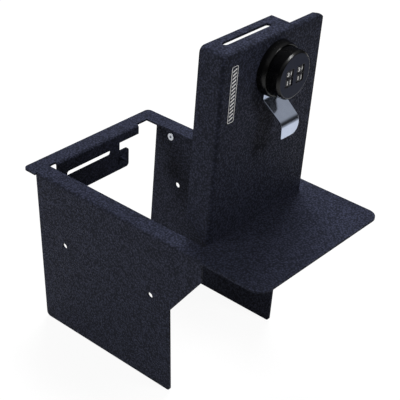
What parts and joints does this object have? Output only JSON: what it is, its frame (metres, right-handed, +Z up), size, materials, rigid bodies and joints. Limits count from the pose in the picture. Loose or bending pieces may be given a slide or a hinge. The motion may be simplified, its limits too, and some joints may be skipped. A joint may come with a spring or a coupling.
{
  "type": "console safe",
  "caption": "Folded steel strongbox frame for a vehicle console, with an open hinged lid, a round combination knob with number wheels and a bright finger pull.",
  "frame": {"origin": "on the floor plane of the side walls, under the centre of the top plate", "axes": "+Z up, +X from the latch end to the hinge and shelf end, +Y from the near wall to the far wall"},
  "size_m": [0.256, 0.152, 0.3102],
  "materials": {
    "black_powder_coat": "coarse wrinkled powder coat, satin",
    "black_steel": "thin black coat, satin",
    "zinc_plate": "bright zinc plate",
    "cast_zinc": "as cast",
    "lock_black": "satin black",
    "wheel_black": "satin with white numbers",
    "bright_chrome": "polished"
  },
  "bodies": {
    "console": {"console_body": "black_powder_coat", "lid_rest_pins": "black_powder_coat", "far_wall_rivet": "zinc_plate", "hinge_leaf_body": "black_steel", "hinge_pin": "zinc_plate"},
    "lid": {"lid_shell": "black_powder_coat", "hinge_leaf_lid": "black_steel", "lock_housing": "lock_black", "lock_washer": "zinc_plate", "lock_nut": "zinc_plate", "finger_pull": "bright_chrome"},
    "knob": {"knob_base": "cast_zinc", "knob_cap": "lock_black", "dial_axle_left": "zinc_plate", "dial_axle_right": "zinc_plate", "cam": "zinc_plate", "cam_washer": "zinc_plate", "cam_screw": "zinc_plate"},
    "wheel_upper_left": {"number_wheel_upper_left": "wheel_black"},
    "wheel_upper_right": {"number_wheel_upper_right": "wheel_black"},
    "wheel_lower_left": {"number_wheel_lower_left": "wheel_black"},
    "wheel_lower_right": {"number_wheel_lower_right": "wheel_black"}
  },
  "joints": [
    {"name": "lid_hinge", "type": "hinge", "parent": "console", "child": "lid", "pos_m": [0.05425, 0, 0.1471], "axis": [0, 1, 0], "range_deg": [-92.14, 0]},
    {"name": "knob_turn", "type": "hinge", "parent": "lid", "child": "knob", "pos_m": [0.06318, 0.006, 0.28161], "axis": [0.9993, 0, -0.0373], "range_deg": [-90, 0]},
    {"name": "dial_upper_left", "type": "hinge", "parent": "knob", "child": "wheel_upper_left", "pos_m": [0.076, -0.0004, 0.28464], "axis": [0.0373, 0, 0.9993], "continuous": true},
    {"name": "dial_upper_right", "type": "hinge", "parent": "knob", "child": "wheel_upper_right", "pos_m": [0.076, 0.0124, 0.28464], "axis": [0.0373, 0, 0.9993], "continuous": true},
    {"name": "dial_lower_left", "type": "hinge", "parent": "knob", "child": "wheel_lower_left", "pos_m": [0.07574, -0.0004, 0.27764], "axis": [0.0373, 0, 0.9993], "continuous": true},
    {"name": "dial_lower_right", "type": "hinge", "parent": "knob", "child": "wheel_lower_right", "pos_m": [0.07574, 0.0124, 0.27764], "axis": [0.0373, 0, 0.9993], "continuous": true}
  ]
}
